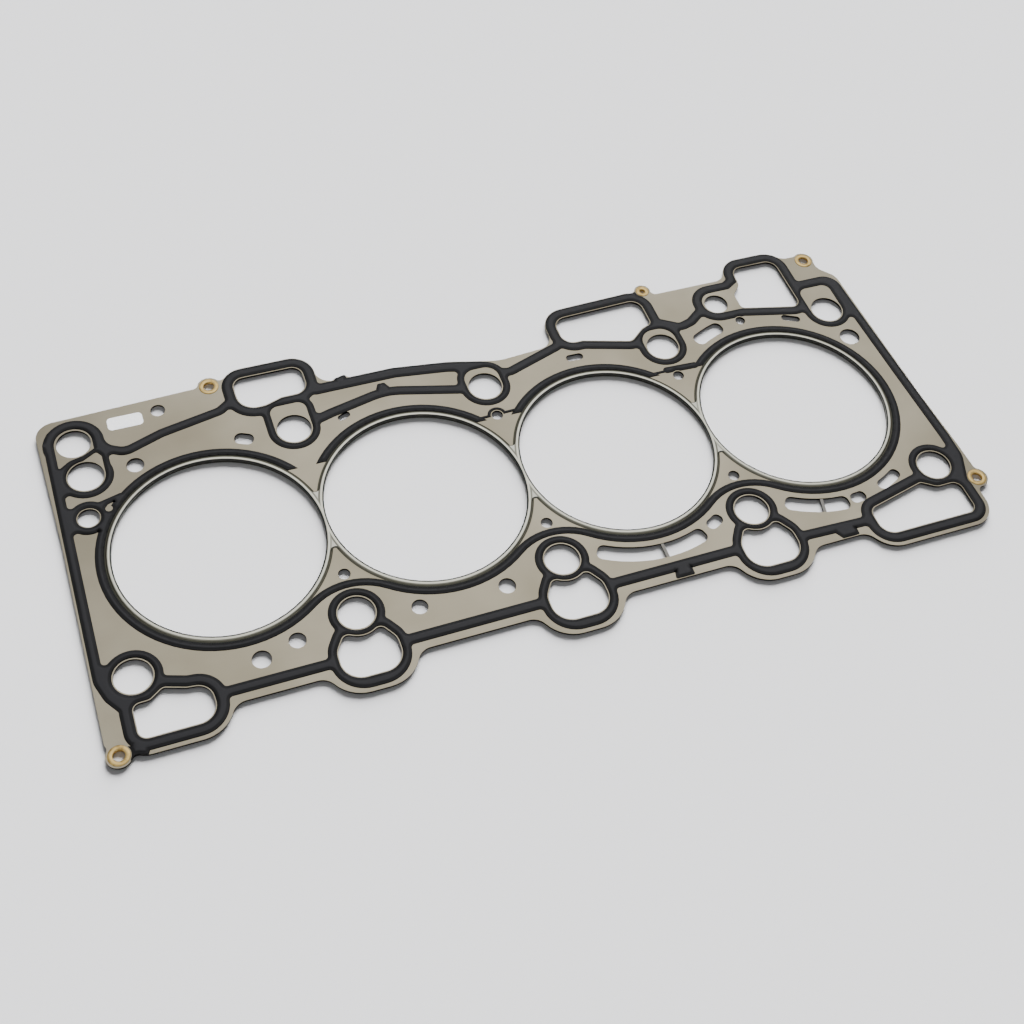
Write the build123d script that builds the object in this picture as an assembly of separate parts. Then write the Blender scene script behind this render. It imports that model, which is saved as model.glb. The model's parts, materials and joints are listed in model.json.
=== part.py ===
from build123d import *
import os
from itertools import combinations
from math import atan2, cos, radians, sin, tan

# Cylinder head gasket of an in-line four-cylinder engine. Three steel layers lie on
# each other, held together by eyelets. The outer two are embossed with a bead round
# the bores, with a stopper ring under each bead, and a rubber seal is moulded on each
# face. Millimetres. +X runs along the row of bores, +Y is the rear side and +Z points
# to the cylinder head. The origin is the middle of the row of bores, on the face that
# meets the block.

# Bores
BORE_RADIUS = 44.0
BORE_BRIDGE = 2.0
BORE_PITCH = 2 * BORE_RADIUS + BORE_BRIDGE
BORE_COLUMNS = (-1.5, -0.5, 0.5, 1.5)

# Thicknesses and heights
SHEET = 0.25
CARRIER = 0.5
BEAD_HEIGHT = 0.5
STOPPER = 0.4
SEAL_HEIGHT = 0.4

# Embossed bead round the bores, with a slope outside and a coined lip at the bore
BEAD_WIDTH = 2.3
BEAD_SLOPE = 0.6
BEAD_BLEND = 1.8
LIP_WIDTH = 0.7
LIP_DROP = 0.14
STOPPER_CLEARANCE = 0.2

# Rubber seal round the bores
BORE_SEAL_GAP = 0.5
BORE_SEAL_WIDTH = 3.7
BORE_SEAL_BLEND = 25.2
BORE_SEAL_INNER = BORE_RADIUS + BEAD_WIDTH + BORE_SEAL_GAP
BORE_SEAL_OUTER = BORE_SEAL_INNER + BORE_SEAL_WIDTH
GAP_REACH = 16.0
SEAL_THREAD = 1.5

# Head bolt holes and the seals round them
BOLT_RADIUS = 7.7
BOLT_RIM = 0.5
BOLT_SEAL = 3.5

# Rubber seals round the ports and along the edges
PORT_RIM = 0.4
PORT_SEAL = 5.0
PORT_LAND = 1.6
DRAIN_TRIM = 1.3
DOWEL_SEAL = 5.6
COOLANT_SEAL = 4.0
HOLE_RIM = 0.4
REAR_LAND = 0.2
SEAL_FILLET = 1.6
BRANCH_FILLET = 6.0

# Coolant holes on a circle round each bore
COOLANT_OUT = 12.4
SLOT_CORNER = 2.4
LONG_SLOT_CORNER = 3.0
SLOT_WEB = 1.4

# Drilled cooling holes in the corners between two bores
BRIDGE_HOLE_RADIUS = 2.6

# Eyelets; each bore is its flange less the ring
EYELET_FLANGE = 4.4
SMALL_FLANGE = 3.3
EYELET_RING = 2.1
EYELET_WALL = 0.4
EYELET_RIM = 0.38
EYELET_EDGE = 0.18
EYELET_FIT = 0.05
EYELET_CLEARANCE = 0.25
EAR_LAND = 0.7

# Outline of the plates
OUTLINE_FILLET = 7.0
EAR_FILLET = 2.5

# Levels of the layers
LOWER_LEVEL = BEAD_HEIGHT
CARRIER_LEVEL = LOWER_LEVEL + SHEET
UPPER_LEVEL = CARRIER_LEVEL + CARRIER
TOP_LEVEL = UPPER_LEVEL + SHEET
TOTAL_HEIGHT = TOP_LEVEL + BEAD_HEIGHT


# Places. A column is a row of two head bolts, numbered from -2 to 2, and a distance
# out is measured away from the edge of the bores.
def rear(column, right, out):
    """A place on the rear side, right of a bolt column and outside the bores."""
    return (column * BORE_PITCH + right, BORE_RADIUS + out)


def front(column, right, out):
    """A place on the front side, right of a bolt column and outside the bores."""
    return (column * BORE_PITCH + right, -BORE_RADIUS - out)


def beside(column, right, share):
    """A place at one end of the row, at a share of the bore radius from its middle."""
    return (column * BORE_PITCH + right, share * BORE_RADIUS)


def round_bore(bore, angle, radius):
    """A place at an angle and a radius round one bore."""
    x = bore * BORE_PITCH + radius * cos(radians(angle))
    return (x, radius * sin(radians(angle)))


# Plane shapes
def rounded(*corners):
    """A face with straight sides; each corner is a place and its radius."""
    places = [place for place, _ in corners]
    radii = [radius for _, radius in corners]
    return make_face(FilletPolyline(*places, radius=radii, close=True))


def band(width, *bends):
    """A strip of one width along a line; each bend is a place and its radius."""
    places = [place for place, _ in bends]
    if len(places) == 2:
        return SlotArc(Line(*places), width)
    radii = [radius for _, radius in bends[1:-1]]
    return SlotArc(FilletPolyline(*places, radius=radii).wire(), width)


def disc(place, radius):
    """A round face at a place."""
    return Pos(*place) * Circle(radius)


def joined(faces):
    """One sketch made of several faces."""
    return Sketch() + list(faces)


def filled_corners(face, radius):
    """Rounds the inner corners of an outline and leaves its outer corners."""
    return offset(offset(face, radius), -radius)


def blended(shapes, radius):
    """Joins shapes and rounds the inner corners where two of them cross."""
    whole = joined(shapes)
    for first, second in combinations(shapes, 2):
        if (first & second).area > radius:
            whole += filled_corners(first + second, radius)
    return whole


def narrowed(face, trim):
    """The same face with its left and right sides drawn in."""
    return (Pos(trim, 0) * face) & (Pos(-trim, 0) * face)


def bore_discs(radius):
    """A disc round each bore."""
    return joined(disc((bore * BORE_PITCH, 0), radius) for bore in BORE_COLUMNS)


def arc_slot(bore, start, end, inner, outer, corner):
    """A curved slot round one bore, between two angles and two radii."""
    sector = Polyline(
        (bore * BORE_PITCH, 0),
        round_bore(bore, start, 2 * outer),
        round_bore(bore, (start + end) / 2, 2 * outer),
        round_bore(bore, end, 2 * outer),
        close=True,
    )
    ring = disc((bore * BORE_PITCH, 0), outer) - disc((bore * BORE_PITCH, 0), inner)
    slot = ring & make_face(sector)
    return fillet(slot.vertices(), corner)


# Ports for oil and air through all layers
def rear_port_left():
    return rounded(
        (rear(-1, -20.1, 42.0), 5.0),
        (rear(-1, 11.5, 42.0), 5.0),
        (rear(-1, 11.5, 26.2), 6.0),
        (rear(-1, -1.0, 26.2), 6.0),
        (rear(-1, -9.0, 23.6), 8.0),
        (rear(-1, -20.1, 23.6), 8.0),
    )


def rear_port_middle():
    return rounded(
        (rear(1, -45.0, 37.3), 6.0),
        (rear(1, 0.3, 38.8), 5.5),
        (rear(1, 0.3, 22.8), 2.5),
        (rear(1, -5.5, 20.4), 5.0),
        (rear(1, -13.0, 14.5), 3.5),
        (rear(1, -36.0, 21.2), 3.0),
        (rear(1, -45.0, 21.0), 6.0),
    )


def rear_port_right():
    return rounded(
        (rear(2, -35.2, 45.7), 5.0),
        (rear(2, -12.0, 45.7), 5.5),
        (rear(2, -12.0, 13.0), 4.0),
        (rear(2, -41.7, 19.9), 2.5),
        (rear(2, -41.7, 29.2), 4.0),
        (rear(2, -36.4, 34.4), 5.0),
    )


def front_port_left():
    return rounded(
        (front(-2, -3.3, 33.8), 3.8),
        (front(-2, -3.3, 18.6), 3.0),
        (front(-2, 3.7, 18.4), 4.0),
        (front(-2, 9.4, 14.5), 2.5),
        (front(-2, 18.0, 17.3), 5.0),
        (front(-2, 26.7, 18.2), 6.5),
        (front(-2, 27.7, 33.8), 7.5),
    )


def front_port_right():
    return rounded(
        (front(2, -38.2, 19.4), 4.0),
        (front(2, -8.5, 12.7), 2.5),
        (front(2, -2.0, 17.0), 5.0),
        (front(2, 8.9, 17.0), 4.0),
        (front(2, 9.0, 33.7), 4.0),
        (front(2, -38.2, 33.7), 6.5),
    )


def kidney_port(column):
    """A drain that bends round the bolt above it, like a kidney."""
    return rounded(
        (front(column, -12.6, 33.2), 8.5),
        (front(column, -12.4, 19.5), 7.0),
        (front(column, -7.6, 12.2), 2.8),
        (front(column, 0.0, 16.3), 10.0),
        (front(column, 7.6, 12.2), 2.8),
        (front(column, 12.4, 19.5), 7.0),
        (front(column, 12.6, 33.2), 8.5),
    )


REAR_PORTS = [rear_port_left(), rear_port_middle(), rear_port_right()]
FRONT_PORTS = [front_port_left(), front_port_right()]
DRAINS = [kidney_port(column) for column in (-1, 0, 1)]
PORTS = REAR_PORTS + FRONT_PORTS + DRAINS

# Head bolt holes
REAR_BOLTS = [
    rear(-2, -1.0, 6.4),
    rear(-1, 0.0, 7.2),
    rear(0, 0.0, 7.2),
    rear(1, 0.0, 7.2),
    rear(2, -0.6, 7.6),
]
FRONT_BOLTS = [
    front(-2, -0.5, 6.4),
    front(-1, 0.0, 4.0),
    front(0, 0.0, 4.0),
    front(1, 0.0, 4.0),
    front(2, 2.6, 5.4),
]

# Other round holes, each a place and a radius
DOWEL_HOLE = (rear(-2, -3.1, 25.0), 7.4)
OIL_FEED = (rear(2, -53.1, 25.7), 5.8)
RAIL_HOLE = (rear(-1, -55.0, 33.6), 3.2)
END_COOLANT_LEFT = (round_bore(-1.5, 149.6, COOLANT_OUT + BORE_RADIUS), 4.6)

COOLANT_CIRCLE = BORE_RADIUS + COOLANT_OUT
COOLANT_HOLES = [
    END_COOLANT_LEFT,
    (round_bore(-1.5, 116.4, COOLANT_CIRCLE), 3.8),
    (round_bore(-1.5, -86.5, COOLANT_CIRCLE + 1.4), 4.0),
    (round_bore(-1.5, -70.4, COOLANT_CIRCLE + 0.4), 3.6),
    (round_bore(-0.5, -110.3, COOLANT_CIRCLE), 3.5),
    (round_bore(-0.5, -71.3, COOLANT_CIRCLE + 0.4), 3.7),
    (round_bore(1.5, 91.1, COOLANT_CIRCLE), 2.4),
    (round_bore(1.5, 34.3, COOLANT_CIRCLE + 0.6), 4.9),
]
BRIDGE_HOLES = [front(column, 0.3, -15.3) for column in (-1, 0, 1)]
BRIDGE_HOLES += [rear(0, -0.4, -10.6), rear(1, 0.0, -11.6)]

# Eyelets at the corners and along the rear, each a place and the radius of its flange
EYELETS = [
    (rear(-1, -30.6, 41.0), EYELET_FLANGE),
    (rear(1, 4.6, 43.4), SMALL_FLANGE),
    (rear(2, 3.4, 41.3), EYELET_FLANGE),
    (front(2, 18.6, 17.5), EYELET_FLANGE),
    (front(-2, -11.8, 37.9), EYELET_FLANGE),
]


def slot_near(bore, angle, width, length):
    """A short slot along the coolant circle."""
    half = (length - width) / 2
    turn = half / radians(COOLANT_CIRCLE)
    start = round_bore(bore, angle - turn, COOLANT_CIRCLE)
    end = round_bore(bore, angle + turn, COOLANT_CIRCLE)
    return SlotArc(Line(start, end), width)


def coolant_slots():
    """Curved slots round the third and fourth bores and short ones beside them."""
    wide_in = COOLANT_CIRCLE - 3.2
    wide_out = COOLANT_CIRCLE + 3.8
    short_out = COOLANT_CIRCLE + 2.1
    return [
        slot_near(-1.5, 66.4, 6.0, 8.7),
        slot_near(-0.5, 113.0, 3.2, 6.2),
        slot_near(0.5, 88.5, 3.8, 8.4),
        arc_slot(1.5, 102.0, 119.5, wide_in, wide_out, LONG_SLOT_CORNER),
        slot_near(1.5, 64.8, 3.6, 9.4),
        arc_slot(0.5, -66.2, -57.6, wide_in, short_out, SLOT_CORNER),
        arc_slot(1.5, -89.0, -81.2, wide_in, short_out, SLOT_CORNER),
        arc_slot(1.5, -72.4, -58.4, wide_in, short_out, SLOT_CORNER),
    ]


def long_slots():
    """The two long coolant slots in the front, round the third and fourth bores."""
    inner = COOLANT_CIRCLE - 3.4
    outer = COOLANT_CIRCLE + 3.9
    return [
        arc_slot(0.5, -121.0, -69.6, inner, outer, LONG_SLOT_CORNER),
        arc_slot(1.5, -120.6, -90.4, inner, outer, LONG_SLOT_CORNER),
    ]


def slot_webs():
    """The webs that split the long slots in the carrier and the lower layer."""
    webs = []
    for bore, angle in ((0.5, -90.6), (1.5, -103.0)):
        inner = round_bore(bore, angle, BORE_SEAL_OUTER)
        outer = round_bore(bore, angle, COOLANT_CIRCLE + 2 * LONG_SLOT_CORNER)
        webs.append(SlotArc(Line(inner, outer), SLOT_WEB))
    return webs


# Outline of the plates
def outline():
    """The outer edge: a body, a lobe round each port and an ear round each eyelet."""
    body = rounded(
        (rear(-2, -18.2, 39.0), 8.0),
        (rear(-1, -25.0, 41.7), 0.0),
        (rear(-1, -12.0, 41.7), 0.0),
        (rear(-1, -12.0, 29.3), 0.0),
        (rear(-1, 52.0, 29.3), 30.0),
        (rear(0, -12.0, 25.8), 40.0),
        (rear(0, 11.0, 20.0), 25.0),
        (rear(0, 33.0, 21.6), 0.0),
        (rear(1, -40.0, 22.5), 0.0),
        (rear(1, -5.0, 28.0), 0.0),
        (rear(1, -5.0, 39.9), 0.0),
        (rear(2, -25.0, 39.9), 0.0),
        (rear(2, -20.0, 45.2), 0.0),
        (rear(2, 8.4, 45.2), 4.0),
        (rear(2, 7.6, 34.8), 4.0),
        (rear(2, 14.8, 27.0), 8.0),
        (rear(2, 15.4, 6.0), 60.0),
        (beside(2, 17.6, -0.2), 80.0),
        (front(2, 19.8, -1.0), 60.0),
        (front(2, 20.3, 13.0), 2.0),
        (front(2, 8.0, 30.0), 0.0),
        (front(2, -30.0, 30.2), 0.0),
        (front(1, 5.0, 30.2), 0.0),
        (front(1, -5.0, 27.8), 0.0),
        (front(-1, 5.0, 28.1), 0.0),
        (front(-1, -5.0, 29.4), 0.0),
        (front(-2, 20.0, 29.4), 0.0),
        (front(-2, 5.0, 36.0), 0.0),
        (front(-2, -10.0, 38.0), 0.0),
        (front(-2, -16.3, 33.0), 3.0),
        (beside(-2, -16.4, 0.4), 90.0),
    )
    rear_reach = PORT_RIM + PORT_SEAL + REAR_LAND
    front_reach = PORT_RIM + PORT_SEAL + PORT_LAND
    lobes = [offset(port, rear_reach) for port in REAR_PORTS]
    lobes += [offset(port, front_reach) for port in FRONT_PORTS + DRAINS]
    plate = filled_corners(joined([body] + lobes), OUTLINE_FILLET)
    ears = [disc(place, flange + EAR_LAND) for place, flange in EYELETS]
    return filled_corners(joined([plate] + ears + [rear_tab()]), EAR_FILLET)


def through_holes():
    """Everything that is cut through all three layers."""
    holes = [disc(place, BOLT_RADIUS) for place in REAR_BOLTS + FRONT_BOLTS]
    holes += [disc(*hole) for hole in [DOWEL_HOLE, OIL_FEED, RAIL_HOLE] + COOLANT_HOLES]
    holes += [disc(place, BRIDGE_HOLE_RADIUS) for place in BRIDGE_HOLES]
    barrel = EYELET_WALL + EYELET_FIT - EYELET_RING
    holes += [disc(place, flange + barrel) for place, flange in EYELETS]
    return [bore_discs(BORE_RADIUS)] + PORTS + holes + coolant_slots()


# Rubber seal, as a plane network of bands
def bolt_window(place, height, corner):
    """The bare steel round a rear bolt, drawn out to the rear."""
    half = BOLT_RADIUS + BOLT_RIM
    arch = rounded(
        ((-half, 0), 0.0),
        ((-half, height), corner),
        ((half, height), corner),
        ((half, 0), 0.0),
    )
    return Pos(*place) * (Circle(half) + arch)


def bolt_windows():
    """The bare steel round the four rear bolts right of the dowel hole."""
    shapes = ((14.2, 4.0), (10.8, 6.0), (11.1, 7.0), (15.7, 4.0))
    pairs = zip(REAR_BOLTS[1:], shapes)
    return [bolt_window(place, height, corner) for place, (height, corner) in pairs]


def dowel_window():
    """The bare steel round the dowel hole, above the bar over the corner bolt."""
    return rounded(
        (rear(-2, -11.3, 33.2), 8.0),
        (rear(-2, 4.8, 33.2), 8.0),
        (rear(-2, 4.8, 20.3), 0.6),
        (rear(-2, -0.4, 17.5), 6.0),
        (rear(-2, -6.4, 16.3), 6.0),
        (rear(-2, -11.3, 12.8), 0.6),
    )


def corner_bolt_window():
    """The bare steel round the corner bolt, open towards the end of the bar."""
    x, y = REAR_BOLTS[0]
    half = BOLT_RADIUS + BOLT_RIM
    side = rounded(
        ((x, y + half), 0.0),
        ((x + 6.3, y + 11.6), 1.0),
        ((x + half, y + 9.0), 3.0),
        ((x + half, y), 0.0),
        ((x, y), 0.0),
    )
    return disc((x, y), half) + side


def feed_window():
    """The bare steel between the oil feed hole and the right rear port."""
    return rounded(
        (rear(2, -59.6, 33.3), 6.5),
        (rear(2, -42.5, 33.3), 3.0),
        (rear(2, -36.1, 37.0), 0.0),
        (rear(2, -28.0, 36.5), 0.0),
        (rear(2, -28.0, 19.5), 0.0),
        (rear(2, -59.6, 19.7), 6.5),
    )


def bore_seal():
    """The band round all four bores, with its gaps on the rear side."""
    rim = filled_corners(bore_discs(BORE_SEAL_OUTER), BORE_SEAL_BLEND)
    seal = rim - offset(rim, -BORE_SEAL_WIDTH)
    rings = bore_discs(BORE_SEAL_OUTER) - bore_discs(BORE_SEAL_INNER)
    for column, cut in ((-1, -14.6), (0, -12.2), (1, -9.2)):
        seal -= gap_box(column, -BORE_RADIUS / 2, 2)
        seal += rings & gap_box(column, cut, 2)
    return seal + band(BORE_SEAL_WIDTH, (rear(1, -4.0, -7.2), 0), (rear(1, 10.0, -7.8), 0))


def seal_threads():
    """Thin strips of rubber in the rear corners between the bores."""
    hole = rear(0, -0.4, -10.6)
    loop = disc(hole, BRIDGE_HOLE_RADIUS + HOLE_RIM + SEAL_THREAD)
    return [
        loop & gap_box(0, -10.6, 2),
        band(SEAL_THREAD, (rear(0, -10.5, -10.4), 0), (rear(0, 9.0, -9.9), 0)),
        band(SEAL_THREAD, (rear(1, -11.0, -7.6), 0), (rear(1, -3.0, -7.6), 0)),
    ]


def gap_box(column, low, high):
    """A box over the rear corner between two bores, between two distances out."""
    return rounded(
        (rear(column, -GAP_REACH, low), 0.0),
        (rear(column, GAP_REACH, low), 0.0),
        (rear(column, GAP_REACH, high), 0.0),
        (rear(column, -GAP_REACH, high), 0.0),
    )


def coolant_bar():
    """The bar from the ring round the left coolant hole to the band round the bores."""
    ring_end = round_bore(-1.5, 143.3, BORE_SEAL_OUTER + 5.6)
    bore_end = round_bore(-1.5, 133.2, BORE_SEAL_OUTER - 0.8)
    return band(3.0, (ring_end, 0), (bore_end, 0))


def dowel_loop():
    """The loop round the dowel hole."""
    place, radius = DOWEL_HOLE
    return disc(place, radius + DOWEL_SEAL)


def rear_branch():
    """The band from the dowel hole to the left rear port."""
    return band(
        4.7,
        (rear(-2, 7.4, 20.0), 0),
        (rear(-2, 17.0, 14.8), 6),
        (rear(-2, 34.0, 20.6), 12),
        (rear(-1, -29.0, 25.8), 5),
        (rear(-1, -23.0, 30.0), 0),
    )


def edge_bands():
    """The bands that join the ports, the bolts and the ends of the gasket."""
    return [
        rear_branch(),
        coolant_bar(),
        band(4.6, (rear(-2, 7.2, 25.0), 0), (rear(-2, 7.9, 8.0), 0)),
        band(
            4.4,
            (rear(-2, -13.4, 25.0), 0),
            (front(-2, -13.4, 5.0), 8),
            (front(-2, -10.8, 13.0), 8),
            (front(-2, -6.0, 20.0), 0),
        ),
        band(
            6.0,
            (rear(-1, 15.0, 26.2), 0),
            (rear(-1, 52.0, 26.2), 20),
            (rear(0, -14.0, 23.0), 20),
            (rear(0, 2.0, 19.0), 0),
        ),
        band(
            5.2,
            (rear(-1, 7.0, 8.2), 0),
            (rear(-1, 18.0, 11.2), 10),
            (rear(-1, 45.0, 17.0), 30),
            (rear(0, -11.0, 8.2), 0),
        ),
        band(
            5.0,
            (rear(0, 8.0, 13.5), 0),
            (rear(0, 14.0, 12.2), 5),
            (rear(0, 20.0, 14.2), 12),
            (rear(0, 40.0, 20.7), 0),
        ),
        band(
            5.0,
            (rear(1, 6.0, 21.0), 0),
            (rear(1, 13.5, 16.4), 5),
            (rear(1, 20.0, 18.2), 6),
            (rear(1, 27.0, 23.2), 0),
        ),
        band(5.0, (rear(1, 27.0, 23.2), 0), (rear(2, -58.0, 26.5), 0)),
        band(
            4.8,
            (rear(2, -9.0, 26.5), 0),
            (rear(2, 11.6, 26.5), 6),
            (rear(2, 12.4, 4.0), 20),
            (beside(2, 14.2, 0.15), 40),
            (front(2, 16.3, -8.0), 20),
            (front(2, 16.3, 4.0), 10),
            (front(2, 11.0, 18.0), 0),
        ),
        band(5.0, (front(2, -38.0, 24.6), 0), (front(1, 14.0, 23.4), 0)),
        band(5.2, (front(1, -12.0, 21.6), 0), (front(0, 12.0, 21.8), 0)),
        band(5.2, (front(0, -12.0, 22.0), 0), (front(-1, 12.0, 22.3), 0)),
        band(5.0, (front(-1, -12.0, 23.7), 0), (front(-2, 30.0, 23.7), 0)),
    ]


def rear_tab():
    """The moulding tab on the rear edge, which the steel reaches out for."""
    return rounded(
        (rear(-1, 24.3, 26.0), 0.0),
        (rear(-1, 24.3, 30.2), 1.2),
        (rear(-1, 29.9, 31.4), 0.8),
        (rear(-1, 30.7, 26.0), 0.0),
    )


def seal_tabs():
    """Moulding tabs, where the rubber runs out beside its bands."""
    return [
        rear_tab(),
        rounded(
            (rear(-1, 39.8, 16.0), 0.0),
            (rear(-1, 42.6, 21.8), 0.8),
            (rear(-1, 45.8, 21.8), 0.8),
            (rear(-1, 48.8, 16.5), 0.0),
        ),
        rounded(
            (front(0, 44.5, 22.0), 0.0),
            (front(0, 52.0, 22.0), 0.0),
            (front(0, 52.0, 27.6), 0.8),
            (front(0, 43.0, 27.6), 0.8),
        ),
        rounded(
            (front(1, 29.0, 24.0), 0.0),
            (front(1, 41.2, 24.0), 0.0),
            (front(1, 40.8, 29.9), 0.8),
            (front(1, 32.6, 29.9), 0.8),
        ),
        rounded(
            (front(-2, -8.0, 35.0), 0.0),
            (front(-2, 0.5, 37.5), 0.0),
            (front(-2, -2.2, 42.4), 0.8),
            (front(-2, -8.0, 42.0), 0.8),
        ),
        rounded(
            (rear(1, -2.2, 40.0), 0.0),
            (rear(1, -2.2, 43.9), 0.8),
            (rear(1, 1.4, 43.9), 0.8),
            (rear(1, 2.9, 40.0), 0.0),
        ),
    ]


def seal_bodies():
    """The loops round the ports and the bolts with the bands between them."""
    port_reach = PORT_RIM + PORT_SEAL
    bolt_reach = BOLT_RADIUS + BOLT_RIM + BOLT_SEAL
    coolant_place, coolant_radius = END_COOLANT_LEFT
    loops = [offset(port, port_reach) for port in REAR_PORTS + FRONT_PORTS]
    loops += [narrowed(offset(drain, port_reach), DRAIN_TRIM) for drain in DRAINS]
    loops += [offset(window, BOLT_SEAL) for window in bolt_windows()]
    loops += [offset(feed_window(), PORT_SEAL)]
    loops += [disc(place, bolt_reach) for place in FRONT_BOLTS + REAR_BOLTS[:1]]
    loops += [dowel_loop(), disc(coolant_place, coolant_radius + COOLANT_SEAL)]
    return loops + edge_bands()


def bare_places():
    """Where the seal leaves the steel bare: round the ports, bolts and holes."""
    bare = [offset(port, PORT_RIM) for port in PORTS]
    bare += bolt_windows()
    bare += [dowel_window(), corner_bolt_window(), feed_window()]
    bare += [disc(place, BOLT_RADIUS + BOLT_RIM) for place in FRONT_BOLTS]
    bare += [disc(place, radius + HOLE_RIM) for place, radius in COOLANT_HOLES]
    bare += [disc(place, BRIDGE_HOLE_RADIUS + HOLE_RIM) for place in BRIDGE_HOLES]
    bare += [disc(place, flange + EYELET_CLEARANCE) for place, flange in EYELETS]
    return bare + [disc(round_bore(-1.5, 142.0, BORE_SEAL_OUTER), SEAL_THREAD)]


def seal_shape():
    """The plane shape of the moulded seal."""
    branch = filled_corners(dowel_loop() + rear_branch(), BRANCH_FILLET)
    network = blended(seal_bodies(), SEAL_FILLET) + branch + seal_tabs() + seal_threads()
    return ((network + bore_seal()) & outline()) - bare_places()


# Embossed steel layers
def bead_zone(inset):
    """The raised zone round the bores, seen from above, drawn in by an inset."""
    rim = filled_corners(bore_discs(BORE_RADIUS + BEAD_WIDTH), BEAD_BLEND)
    return offset(rim, -inset) if inset else rim


def embossed(low, high, start, rise):
    """A block over the bead zone whose sides slope inwards as they rise."""
    foot = Pos(0, 0, low) * bead_zone(start)
    block = extrude(foot, high - low)
    edges = block.faces().sort_by(Axis.Z)[-1].edges()
    return chamfer(edges, rise, BEAD_SLOPE)


def pressed_sheet(holes):
    """A flat sheet at the upper level, pressed up round the bores."""
    sheet = extrude(Pos(0, 0, UPPER_LEVEL) * outline(), SHEET)
    bead = embossed(UPPER_LEVEL, TOTAL_HEIGHT, 0, BEAD_HEIGHT)
    start = SHEET * tan(atan2(BEAD_HEIGHT, BEAD_SLOPE) / 2)
    recess = embossed(UPPER_LEVEL - SHEET, TOTAL_HEIGHT - SHEET, start, BEAD_HEIGHT)
    pressed = sheet + bead - recess - extrude(joined(holes), TOTAL_HEIGHT)
    lip = Cone(BORE_RADIUS, BORE_RADIUS + LIP_WIDTH, LIP_DROP)
    lips = [Pos(bore * BORE_PITCH, 0, TOTAL_HEIGHT - LIP_DROP / 2) * lip for bore in BORE_COLUMNS]
    return pressed - lips


def turned_over(piece):
    """The same piece on the other face of the gasket."""
    return mirror(piece, about=Plane.XY.offset(TOTAL_HEIGHT / 2))


def webbed_slots():
    """The long slots with a web left across each."""
    return [slot - slot_webs() for slot in long_slots()]


def top_layer():
    """The layer under the cylinder head."""
    return pressed_sheet(through_holes() + long_slots())


def carrier_layer():
    """The thick middle layer, flat on both faces."""
    flat = outline() - joined(through_holes() + webbed_slots())
    return extrude(Pos(0, 0, CARRIER_LEVEL) * flat, CARRIER)


def bottom_layer():
    """The layer on the block, pressed down round the bores."""
    return turned_over(pressed_sheet(through_holes() + webbed_slots()))


def upper_stopper():
    """The flat ring in one piece round all bores, lying under the upper bead."""
    reach = SHEET + BEAD_SLOPE + STOPPER_CLEARANCE
    ring = bead_zone(reach) - bore_discs(BORE_RADIUS)
    return extrude(Pos(0, 0, UPPER_LEVEL) * ring, STOPPER)


def lower_stopper():
    """The same ring over the lower bead."""
    return turned_over(upper_stopper())


def top_seal():
    """The moulded seal on the upper face."""
    return extrude(Pos(0, 0, TOP_LEVEL) * seal_shape(), SEAL_HEIGHT)


def bottom_seal():
    """The same seal on the lower face."""
    return turned_over(top_seal())


def eyelet(place, flange):
    """A tube through all layers with a rolled flange on each face."""
    bore = flange - EYELET_RING
    outer = bore + EYELET_WALL
    top = TOP_LEVEL + EYELET_RIM
    low = TOTAL_HEIGHT - top
    profile = Polyline(
        (bore, low + EYELET_EDGE),
        (bore + EYELET_EDGE, low),
        (flange - EYELET_EDGE, low),
        (flange, low + EYELET_EDGE),
        (flange, LOWER_LEVEL),
        (outer, LOWER_LEVEL),
        (outer, TOP_LEVEL),
        (flange, TOP_LEVEL),
        (flange, top - EYELET_EDGE),
        (flange - EYELET_EDGE, top),
        (bore + EYELET_EDGE, top),
        (bore, top - EYELET_EDGE),
        close=True,
    )
    return Pos(*place) * revolve(Plane.XZ * make_face(profile), Axis.Z)


def all_pieces():
    """Every piece of the gasket with its name."""
    pieces = {
        "bottom_layer": bottom_layer(),
        "carrier_layer": carrier_layer(),
        "top_layer": top_layer(),
        "lower_stopper": lower_stopper(),
        "upper_stopper": upper_stopper(),
        "bottom_seal": bottom_seal(),
        "top_seal": top_seal(),
    }
    for number, (place, flange) in enumerate(EYELETS, start=1):
        pieces[f"eyelet_{number}"] = eyelet(place, flange)
    return pieces


os.makedirs("parts", exist_ok=True)
for name, piece in all_pieces().items():
    export_step(piece, f"parts/{name}.step")
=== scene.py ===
"""Looks of a multi-layer steel cylinder head gasket.

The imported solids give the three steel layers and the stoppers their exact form. This scene gives them their
finishes, makes the moulded rubber seals with their raised bead, the rolled brass eyelets and the blank white
printed field, and sets the floor, the light and the camera.
"""

import json
import logging
from dataclasses import dataclass, field
from enum import Enum
from math import cos, pi, radians, sin
from typing import Any

import bmesh
import bpy
from mathutils import Matrix, Vector
from mathutils.bvhtree import BVHTree
from mathutils.geometry import delaunay_2d_cdt
from mathutils.kdtree import KDTree


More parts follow.
